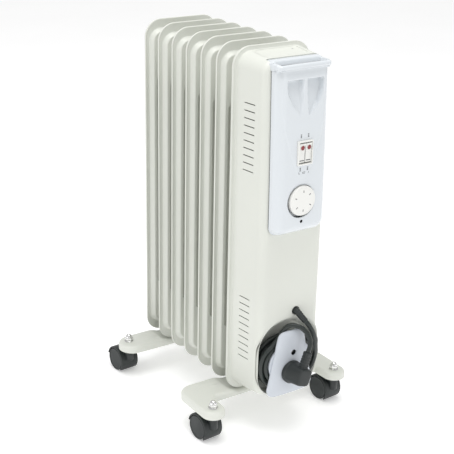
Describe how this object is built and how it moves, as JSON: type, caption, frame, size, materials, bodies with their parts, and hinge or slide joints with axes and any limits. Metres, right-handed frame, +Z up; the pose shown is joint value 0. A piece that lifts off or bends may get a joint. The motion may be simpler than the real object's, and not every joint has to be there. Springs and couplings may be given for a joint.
{
  "type": "oil filled radiator heater",
  "caption": "Free-standing column heater with oil filled steel fins in a row, a front control panel, a cord winder and swivelling castor feet.",
  "frame": {"origin": "centre of the bottom of the bounding box of the heater without its cord, on the floor", "axes": "+Z up, controls face -Y, fins stacked along +Y, +X to the right seen from the front"},
  "size_m": [0.2906, 0.4072, 0.637],
  "materials": {
    "painted_steel": "smooth satin enamel",
    "panel_plastic": "satin moulded plastic",
    "winder_plastic": "satin moulded plastic",
    "white_plastic": "smooth moulded plastic",
    "red_lens": "clear red lens",
    "black_plastic": "fine matt moulded plastic",
    "cord_black": "soft flexible sheath",
    "chrome_nut": "bright plating",
    "plated_steel": "zinc plated",
    "brass_shaft": "plain brass",
    "ceramic": "unglazed"
  },
  "bodies": {
    "heater": {"fin_1": "painted_steel", "fin_2": "painted_steel", "fin_3": "painted_steel", "fin_4": "painted_steel", "fin_5": "painted_steel", "fin_6": "painted_steel", "fin_7": "painted_steel", "front_cover": "painted_steel", "front_foot": "painted_steel", "rear_foot": "painted_steel", "control_panel": "panel_plastic", "cord_winder": "winder_plastic", "switch_bezel": "white_plastic", "switch_block": "black_plastic", "plug_body": "black_plastic", "cord_boot": "black_plastic", "cord_lead": "cord_black", "cord_coil": "cord_black", "cord_tail": "cord_black", "stem_front_left": "chrome_nut", "stem_front_right": "chrome_nut", "stem_rear_left": "chrome_nut", "stem_rear_right": "chrome_nut", "oil_filler_plug": "plated_steel", "thermostat": "plated_steel", "panel_screw": "plated_steel", "winder_screw": "plated_steel", "plug_pin_left": "plated_steel", "plug_pin_right": "plated_steel", "u_bolt_front": "plated_steel", "u_bolt_rear": "plated_steel", "heating_element": "plated_steel", "wing_nut_front_left": "plated_steel", "wing_nut_front_right": "plated_steel", "wing_nut_rear_left": "plated_steel", "wing_nut_rear_right": "plated_steel", "thermal_cutout": "ceramic", "terminal_block": "ceramic"},
    "dial": {"dial": "white_plastic", "thermostat_shaft": "brass_shaft"},
    "rocker_left": {"rocker_left": "white_plastic", "lens_left": "red_lens"},
    "rocker_right": {"rocker_right": "white_plastic", "lens_right": "red_lens"},
    "castor_front_left": {"hood_front_left": "black_plastic", "axle_front_left": "plated_steel"},
    "wheel_front_left_left": {"wheel_front_left_left": "black_plastic"},
    "wheel_front_left_right": {"wheel_front_left_right": "black_plastic"},
    "castor_front_right": {"hood_front_right": "black_plastic", "axle_front_right": "plated_steel"},
    "wheel_front_right_left": {"wheel_front_right_left": "black_plastic"},
    "wheel_front_right_right": {"wheel_front_right_right": "black_plastic"},
    "castor_rear_left": {"hood_rear_left": "black_plastic", "axle_rear_left": "plated_steel"},
    "wheel_rear_left_left": {"wheel_rear_left_left": "black_plastic"},
    "wheel_rear_left_right": {"wheel_rear_left_right": "black_plastic"},
    "castor_rear_right": {"hood_rear_right": "black_plastic", "axle_rear_right": "plated_steel"},
    "wheel_rear_right_left": {"wheel_rear_right_left": "black_plastic"},
    "wheel_rear_right_right": {"wheel_rear_right_right": "black_plastic"}
  },
  "joints": [
    {"name": "dial_turn", "type": "hinge", "parent": "heater", "child": "dial", "pos_m": [0.00046, -0.18394, 0.41], "axis": [0, 1, 0], "range_deg": [0, 270]},
    {"name": "rocker_left_tilt", "type": "hinge", "parent": "heater", "child": "rocker_left", "pos_m": [-0.00474, -0.17994, 0.4865], "axis": [-1, 0, 0], "range_deg": [0, 12]},
    {"name": "rocker_right_tilt", "type": "hinge", "parent": "heater", "child": "rocker_right", "pos_m": [0.00726, -0.17994, 0.4865], "axis": [-1, 0, 0], "range_deg": [0, 12]},
    {"name": "castor_front_left_swivel", "type": "hinge", "parent": "heater", "child": "castor_front_left", "pos_m": [-0.12484, -0.13754, 0.044], "axis": [0, 0, 1], "continuous": true},
    {"name": "wheel_front_left_left_roll", "type": "hinge", "parent": "castor_front_left", "child": "wheel_front_left_left", "pos_m": [-0.13688, -0.11733, 0.0207], "axis": [0.9976, 0.0698, 0], "continuous": true},
    {"name": "wheel_front_left_right_roll", "type": "hinge", "parent": "castor_front_left", "child": "wheel_front_left_right", "pos_m": [-0.11573, -0.11585, 0.0207], "axis": [0.9976, 0.0698, 0], "continuous": true},
    {"name": "castor_front_right_swivel", "type": "hinge", "parent": "heater", "child": "castor_front_right", "pos_m": [0.12576, -0.13754, 0.044], "axis": [0, 0, 1], "continuous": true},
    {"name": "wheel_front_right_left_roll", "type": "hinge", "parent": "castor_front_right", "child": "wheel_front_right_left", "pos_m": [0.11372, -0.11733, 0.0207], "axis": [0.9976, 0.0698, 0], "continuous": true},
    {"name": "wheel_front_right_right_roll", "type": "hinge", "parent": "castor_front_right", "child": "wheel_front_right_right", "pos_m": [0.13487, -0.11585, 0.0207], "axis": [0.9976, 0.0698, 0], "continuous": true},
    {"name": "castor_rear_left_swivel", "type": "hinge", "parent": "heater", "child": "castor_rear_left", "pos_m": [-0.12484, 0.14336, 0.044], "axis": [0, 0, 1], "continuous": true},
    {"name": "wheel_rear_left_left_roll", "type": "hinge", "parent": "castor_rear_left", "child": "wheel_rear_left_left", "pos_m": [-0.13688, 0.16357, 0.0207], "axis": [0.9976, 0.0698, 0], "continuous": true},
    {"name": "wheel_rear_left_right_roll", "type": "hinge", "parent": "castor_rear_left", "child": "wheel_rear_left_right", "pos_m": [-0.11573, 0.16505, 0.0207], "axis": [0.9976, 0.0698, 0], "continuous": true},
    {"name": "castor_rear_right_swivel", "type": "hinge", "parent": "heater", "child": "castor_rear_right", "pos_m": [0.12576, 0.14336, 0.044], "axis": [0, 0, 1], "continuous": true},
    {"name": "wheel_rear_right_left_roll", "type": "hinge", "parent": "castor_rear_right", "child": "wheel_rear_right_left", "pos_m": [0.11372, 0.16357, 0.0207], "axis": [0.9976, 0.0698, 0], "continuous": true},
    {"name": "wheel_rear_right_right_roll", "type": "hinge", "parent": "castor_rear_right", "child": "wheel_rear_right_right", "pos_m": [0.13487, 0.16505, 0.0207], "axis": [0.9976, 0.0698, 0], "continuous": true}
  ]
}
